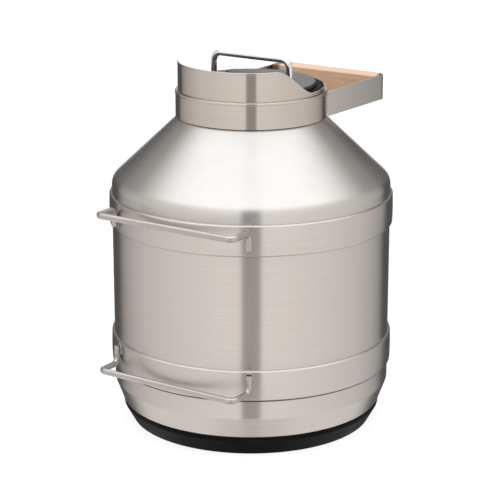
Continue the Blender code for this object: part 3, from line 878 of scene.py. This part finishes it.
def build_weld(node, root_y, end_z, direction, half_span, material):
    """A rippled bead whose width swells and shrinks as it was laid."""
    side = 1 if middle(node, "x") > 0 else -1
    path = weld_path(side * half_span, root_y, end_z, direction)
    bm = bead(path, WELD_R, thin=0.35, growth=0.3, ripples=((0.14, 2.1, side), (0.08, 0.9, 0.0)))
    make_piece(bm, node, "can", material)


def build_wires(wire_material, weld_material):
    """The upper handle's bar is at its top and its legs' ends at its foot; the lower one is
    the same turned over."""
    for node, direction in (("upper_wire_handle", -1), ("lower_wire_handle", 1)):
        bar_z = high(node, "z") - WIRE_R if direction < 0 else low(node, "z") + WIRE_R
        leg_z = low(node, "z") if direction < 0 else high(node, "z")
        build_wire(node, bar_z, leg_z, wire_material)
        root_y = high(node, "y") - WIRE_R
        half_span = high(node, "x") - WIRE_R
        for side in ("left", "right"):
            weld = "weld_" + node.split("_")[0] + "_" + side
            build_weld(weld, root_y, leg_z, direction, half_span, weld_material)


# ---------------------------------------------------------------- grip loop


def build_strap(material):
    """Flat stock bent to a U, its two ends cut to the collar's round and raised a little at
    their lower edge."""
    half_height = (high("grip_strap", "z") - low("grip_strap", "z")) / 2
    half_thick = STRAP_THICK / 2
    line_x = high("grip_strap", "x") - half_thick
    line_y = high("grip_strap", "y") - half_thick
    line_z = middle("grip_strap", "z")
    start_y = low("grip_strap", "y")
    bend = STRAP_BEND - half_thick
    path = rounded([
        (line_x, start_y, line_z, 0.0),
        (line_x, line_y, line_z, bend),
        (-line_x, line_y, line_z, bend),
        (-line_x, start_y, line_z, 0.0),
    ], closed=False, steps=10)
    outline = section([
        (-half_thick, -half_height, STRAP_EDGE),
        (half_thick, -half_height, STRAP_EDGE),
        (half_thick, half_height, STRAP_EDGE),
        (-half_thick, half_height, STRAP_EDGE),
    ], steps=4)
    bm = swept(path, lambda index: outline, Vector((0, 0, 1)))
    stop_r = high("neck_collar", "x") + TOUCH_GAP
    for vert in bm.verts:
        if abs(vert.co.y - start_y) < SAME_PLACE:
            vert.co.y = math.sqrt(stop_r**2 - vert.co.x**2)
            if vert.co.z < line_z:
                vert.co.z += STRAP_ROOT_RISE
    make_piece(bm, "grip_strap", "can", material)


def block(plan_at, levels):
    """A solid of stacked plan outlines; each level is an inset and a height."""
    bm = bmesh.new()
    rings = []
    for inset, height in levels:
        rings.append([bm.verts.new((x, y, height)) for x, y in plan_at(inset)])
    return capped(bm, rings)


def quarter(centre, radius, start, steps):
    """A quarter turn anticlockwise in plan, from a start angle."""
    points = []
    for step in range(steps + 1):
        angle = start + math.pi / 2 * step / steps
        points.append((centre[0] + radius * math.cos(angle), centre[1] + radius * math.sin(angle)))
    return points


def mirrored_plan(right):
    """A plan outline from its right half, mirrored in the YZ plane."""
    return right + [(-x, y) for x, y in reversed(right)]


def eased_levels(foot, top, edge):
    """Levels of a block whose top and bottom edges are rounded by the same radius."""
    steps = 6
    rise = []
    for step in range(steps + 1):
        turn = math.pi / 2 * step / steps
        rise.append((edge * (1 - math.sin(turn)), edge * (1 - math.cos(turn))))
    upper = [(inset, top - lift) for inset, lift in reversed(rise)]
    return [(inset, foot + lift) for inset, lift in rise] + upper


def build_bar(material):
    """The wood bar, nearly square at its near corners and well rounded at its far ones."""
    half_x = high("grip_bar", "x")
    near_y = low("grip_bar", "y")
    far_y = high("grip_bar", "y")

    def plan_at(inset):
        near = (half_x - BAR_NEAR_CORNER, near_y + BAR_NEAR_CORNER)
        far = (half_x - BAR_FAR_CORNER, far_y - BAR_FAR_CORNER)
        right = quarter(near, BAR_NEAR_CORNER - inset, -math.pi / 2, steps=6)
        right += quarter(far, BAR_FAR_CORNER - inset, 0, steps=14)
        return mirrored_plan(right)

    levels = eased_levels(low("grip_bar", "z"), high("grip_bar", "z"), BAR_EDGE)
    make_piece(block(plan_at, levels), "grip_bar", "can", material)


def screw_mesh(head_r, head_height, length):
    """A button-head screw along +Z with its seat at zero. Its levels run from the floor of the
    hexagonal socket, over the domed head and down the shank."""
    sides = 36
    angles = [2 * math.pi * step / sides for step in range(sides)]
    sixth = math.pi / 3
    socket_r = 0.42 * head_r
    hexagon = []
    for angle in angles:
        hexagon.append(socket_r * math.cos(sixth / 2) / math.cos(angle % sixth - sixth / 2))
    levels = [(hexagon, 0.35 * head_height), (hexagon, 0.99 * head_height)]
    steps = 8
    dome_from = 0.32
    for step in range(steps + 1):
        lean = math.pi / 2 * (dome_from + (1 - dome_from) * step / steps)
        levels.append(([head_r * math.sin(lean)] * sides, head_height * math.cos(lean) ** 0.7))
    for radius, height in (
        (SCREW_SHANK_R, 0.0),
        (SCREW_SHANK_R, SCREW_TIP - length),
        (SCREW_SHANK_R - SCREW_TIP, -length),
    ):
        levels.append(([radius] * sides, height))
    bm = bmesh.new()
    rings = []
    for radii, height in levels:
        places = [round_place(radius, angle, height) for radius, angle in zip(radii, angles)]
        rings.append([bm.verts.new(place) for place in places])
    return capped(bm, rings)


def build_grip_screw(node, material):
    seat = high("grip_strap", "y")
    length = seat - low(node, "y")
    head_height = high(node, "y") - seat
    head_r = (high(node, "x") - low(node, "x")) / 2
    bm = screw_mesh(head_r, head_height, length)
    place = Vector((middle(node, "x"), seat, middle(node, "z")))
    bm.transform(Matrix.Translation(place) @ Matrix.Rotation(-math.pi / 2, 4, "X"))
    make_piece(bm, node, "can", material)


def build_seam(node, material):
    """The weld run in the corner between strap and collar."""
    x = middle(node, "x")
    y = middle(node, "y")
    foot = low(node, "z")
    rise = high(node, "z") - foot
    steps = 30
    path = [Vector((x, y, foot + rise * (step / steps))) for step in range(steps + 1)]
    bm = bead(path, SEAM_R, thin=0.5, growth=0.25, ripples=((0.10, 2.3, 0.0),))
    make_piece(bm, node, "can", material)


# ---------------------------------------------------------------- lid


def build_lid_cover(material):
    outer_r = high("lid_top", "x")
    top = high("lid_top", "z")
    skirt = low("lid_top", "z")
    inner_r = outer_r - LID_SKIRT_THICK
    outline = open_section([
        (0.0, top, 0.0),
        (outer_r, top, LID_ROUND),
        (outer_r, skirt, LID_EDGE),
        (inner_r, skirt, LID_EDGE),
        (inner_r, top - LID_SKIRT_THICK, LID_ROUND - LID_SKIRT_THICK),
        (0.0, top - LID_SKIRT_THICK, 0.0),
    ])
    make_piece(turned_disc(outline), "lid_top", "lid", material)


def build_gasket(material):
    """A ring with a groove round its outer face, between two lips."""
    outer_r = high("lid_gasket", "x")
    inner_r = high("lid_top", "x") + TOUCH_GAP
    top = high("lid_gasket", "z")
    foot = low("lid_gasket", "z")
    groove_r = outer_r - GASKET_GROOVE
    lip = foot + GASKET_LIP
    outline = section([
        (inner_r, foot, LID_EDGE),
        (outer_r, foot, GASKET_FOOT_ROUND),
        (outer_r, lip, GASKET_LIP_EDGE),
        (groove_r, lip + GASKET_GROOVE, GASKET_GROOVE_EDGE),
        (groove_r, lip + 2 * GASKET_GROOVE, GASKET_GROOVE_EDGE),
        (outer_r, lip + 3 * GASKET_GROOVE, GASKET_LIP_EDGE),
        (outer_r, top, GASKET_TOP_ROUND),
        (inner_r, top, GASKET_LIP_EDGE),
    ])
    make_piece(turned(outline), "lid_gasket", "lid", material)


def build_underplate(material):
    outer_r = high("lid_underplate", "x")
    top = high("lid_underplate", "z")
    foot = low("lid_underplate", "z")
    outline = open_section([
        (0.0, top, 0.0),
        (outer_r, top, LID_EDGE),
        (outer_r, foot, LID_EDGE),
        (0.0, foot, 0.0),
    ])
    make_piece(turned_disc(outline), "lid_underplate", "lid", material)


def build_boss(material):
    """The long block with round ends along the lid handle."""
    half_width = high("lid_boss", "y")
    straight = high("lid_boss", "x") - half_width

    def plan_at(inset):
        radius = half_width - inset
        right = quarter((straight, 0.0), radius, -math.pi / 2, steps=14)
        right += quarter((straight, 0.0), radius, 0, steps=14)[1:]
        return mirrored_plan(right)

    levels = eased_levels(low("lid_boss", "z"), high("lid_boss", "z"), BOSS_ROUND)
    make_piece(block(plan_at, levels), "lid_boss", "lid", material)


def build_lid_handle(material):
    half = high("lid_handle", "x") - HANDLE_R
    foot = low("lid_handle", "z")
    bar_z = high("lid_handle", "z") - HANDLE_R
    path = rounded([
        (half, 0.0, foot, 0.0),
        (half, 0.0, bar_z, HANDLE_BEND),
        (-half, 0.0, bar_z, HANDLE_BEND),
        (-half, 0.0, foot, 0.0),
    ], closed=False, steps=18)
    make_piece(rod(path, HANDLE_R, HANDLE_EASE, sides=40), "lid_handle", "lid", material)


def build_lid_screw(node, material):
    seat = low("lid_underplate", "z")
    head_height = seat - low(node, "z")
    head_r = (high(node, "x") - low(node, "x")) / 2
    bm = screw_mesh(head_r, head_height, high(node, "z") - seat)
    place = Vector((middle(node, "x"), 0.0, seat))
    bm.transform(Matrix.Translation(place) @ Matrix.Rotation(math.pi, 4, "X"))
    make_piece(bm, node, "lid", material)


# ---------------------------------------------------------------- studio

# Degrees from the camera's heading, on either side, and the light there
SIDE_LIGHT = (
    (0.0, 0.40),
    (7.5, 0.40),
    (8.1, 1.12),
    (20.0, 1.10),
    (31.0, 1.08),
    (44.0, 1.03),
    (60.0, 0.98),
    (80.0, 0.91),
    (95.0, 0.84),
    (108.0, 0.735),
    (118.0, 0.64),
    (128.0, 0.51),
    (135.0, 0.36),
    (136.5, 0.28),
    (138.5, 0.115),
    (167.0, 0.10),
    (170.0, 1.0),
    (180.0, 1.0),
)
# Other light, between the sines of the elevations where it starts and where it is full
CEILING_LIGHT = (1.86, 1.93, 2.03)
CEILING_FROM = math.sin(math.radians(31))
CEILING_FULL = math.sin(math.radians(62))
TABLE_LIGHT = (1.05, 1.05, 1.05)
TABLE_FROM = -math.sin(math.radians(30))
TABLE_FULL = -math.sin(math.radians(45))
SHADE_LIGHT = (0.18, 0.18, 0.18)
SHADE_FROM = -math.sin(math.radians(68))
SHADE_FULL = -math.sin(math.radians(80))
BACK_GLOW = 0.36
GLOW_FROM = -math.sin(math.radians(4))
GLOW_FULL = math.sin(math.radians(26))
WHITE = (1.0, 1.0, 1.0, 1.0)
# The floor's radius in metres, its two colours and its own light
FLOOR_R = 9.0
PAPER = ((0.19, 0.19, 0.19), (0.21, 0.21, 0.21))
PAPER_LIGHT = 0.86


def build_world():
    """A soft studio all round: two long side lights with a narrow gap at the camera, a dark panel
    on each side behind the can that pales upwards, a backdrop between them, a bright ceiling and
    a pale table with the can's own shade straight below."""
    world = bpy.data.worlds.new("studio")
    bpy.context.scene.world = world
    world.use_nodes = True
    tree = world.node_tree
    tree.nodes.clear()
    way = add(tree, "ShaderNodeTexCoord").outputs["Generated"]
    forward = (math.sin(VIEW_AZIMUTH), -math.cos(VIEW_AZIMUTH), 0.0)
    sideways = (math.cos(VIEW_AZIMUTH), math.sin(VIEW_AZIMUTH), 0.0)
    ahead = measure(tree, "DOT_PRODUCT", way, forward)
    beside = measure(tree, "DOT_PRODUCT", way, sideways)
    turn = maths(tree, "ABSOLUTE", maths(tree, "ARCTAN2", beside, ahead))
    ramp = add(tree, "ShaderNodeValToRGB", {"Fac": maths(tree, "DIVIDE", turn, math.pi)})
    stops = ramp.color_ramp.elements
    while len(stops) < len(SIDE_LIGHT):
        stops.new(0.5)
    for stop, (degrees, level) in zip(stops, SIDE_LIGHT):
        stop.position = degrees / 180
        stop.color = (level, level, level, 1.0)
    up = axes(tree, way)[2]
    to_ceiling = eased(tree, up, CEILING_FROM, CEILING_FULL)
    to_table = eased(tree, up, TABLE_FULL, TABLE_FROM, 1.0, 0.0)
    to_shade = eased(tree, up, SHADE_FULL, SHADE_FROM, 1.0, 0.0)
    glow = eased(tree, up, GLOW_FROM, GLOW_FULL, 0.0, BACK_GLOW)
    side = maths(tree, "MAXIMUM", ramp.outputs["Color"], glow)
    light = blend_colours(tree, to_table, side, TABLE_LIGHT)
    light = blend_colours(tree, to_shade, light, SHADE_LIGHT)
    light = blend_colours(tree, to_ceiling, light, CEILING_LIGHT)
    seen = add(tree, "ShaderNodeLightPath").outputs["Is Camera Ray"]
    plain = add(tree, "ShaderNodeBackground", {"Color": WHITE})
    studio = add(tree, "ShaderNodeBackground", {"Color": light})
    mixed = add(tree, "ShaderNodeMixShader", {0: seen, 1: studio.outputs[0], 2: plain.outputs[0]})
    add(tree, "ShaderNodeOutputWorld", {"Surface": mixed.outputs[0]})


def build_floor():
    """A pale floor, lit partly from within, that takes a faint shadow. The steel reflects the
    studio's table light instead of it."""
    bm = bmesh.new()
    bmesh.ops.create_circle(bm, cap_ends=True, radius=FLOOR_R, segments=96)
    mesh = bpy.data.meshes.new("floor")
    bm.to_mesh(mesh)
    bm.free()
    floor = bpy.data.objects.new("floor", mesh)
    bpy.context.scene.collection.objects.link(floor)
    floor.visible_glossy = False
    material, tree, shader, point = start_material("floor")
    colour = blend_colours(tree, noise(tree, point, 30.0), *PAPER)
    tree.links.new(colour, shader.inputs["Base Color"])
    shader.inputs["Roughness"].default_value = 1.0
    shader.inputs["Specular IOR Level"].default_value = 0.0
    shader.inputs["Emission Color"].default_value = WHITE
    shader.inputs["Emission Strength"].default_value = PAPER_LIGHT
    mesh.materials.append(material)


def build_camera():
    """A camera aimed at the can's axis at VIEW_HEIGHT, from VIEW_DISTANCE away."""
    data = bpy.data.cameras.new("camera")
    camera = bpy.data.objects.new("camera", data)
    bpy.context.scene.collection.objects.link(camera)
    back = Vector((
        math.sin(VIEW_AZIMUTH) * math.cos(VIEW_ELEVATION),
        -math.cos(VIEW_AZIMUTH) * math.cos(VIEW_ELEVATION),
        math.sin(VIEW_ELEVATION),
    ))
    camera.location = Vector((0, 0, VIEW_HEIGHT)) + back * VIEW_DISTANCE
    camera.rotation_euler = (-back).to_track_quat("-Z", "Y").to_euler()
    data.lens = VIEW_LENS
    data.shift_x = VIEW_SHIFT
    bpy.context.scene.camera = camera


# ---------------------------------------------------------------- assembly


def weld_spots(node, height):
    """Places on a hoop beside a wire's two legs at a height, in metres."""
    x = high(node, "x") - WIRE_R
    y = high(node, "y") - WIRE_R
    return [Vector((side * x, y, height)) * MM for side in (-1, 1)]


def build_can():
    upper_spots = weld_spots("upper_wire_handle", low("upper_wire_handle", "z") + HEAT_RISE)
    lower_spots = weld_spots("lower_wire_handle", high("lower_wire_handle", "z") - HEAT_RISE)
    under_upper = low("upper_hoop", "z") * MM
    under_lower = (low("lower_hoop", "z") - CREASE_DROP) * MM
    shell = ring_brushed("body_steel", STEEL, BODY_ROUGH, crease=(under_upper, *UPPER_CREASE))
    pan = ring_brushed("pan_steel", STEEL, BODY_ROUGH, crease=(under_lower, *LOWER_CREASE))
    upper = ring_brushed("upper_hoop_steel", STEEL, BODY_ROUGH, tints=upper_spots)
    lower = ring_brushed("lower_hoop_steel", STEEL, BODY_ROUGH, tints=lower_spots)
    cone = ring_brushed("cone_steel", CONE_STEEL, CONE_ROUGH, CONE_GRAIN)
    neck = ring_brushed("neck_steel", NECK_STEEL, NECK_ROUGH)
    build_boot(black_plastic())
    build_pan(pan)
    build_shell(shell)
    build_hoop("lower_hoop", lower)
    build_hoop("upper_hoop", upper)
    build_shoulder(cone)
    build_collar(neck)
    build_rim(neck)


def build_grip(weld_material, screw_material):
    build_strap(strap_steel())
    build_bar(wood())
    for side in ("left", "right"):
        build_grip_screw("grip_screw_" + side, screw_material)
        build_seam("seam_" + side, weld_material)


def build_lid(screw_material):
    cover = lid_steel()
    build_lid_cover(cover)
    build_gasket(black_rubber())
    build_underplate(cover)
    build_boss(black_gloss())
    build_lid_handle(chrome())
    for side in ("left", "right"):
        build_lid_screw("lid_screw_" + side, screw_material)
        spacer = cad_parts["spacer_" + side]
        spacer.data.materials.clear()
        spacer.data.materials.append(screw_material)


build_can()
welds = weld_steel()
screws = screw_steel()
build_wires(drawn_wire(), welds)
build_grip(welds, screws)
build_lid(screws)
build_world()
build_floor()
build_camera()
bpy.context.scene.view_settings.view_transform = "Standard"
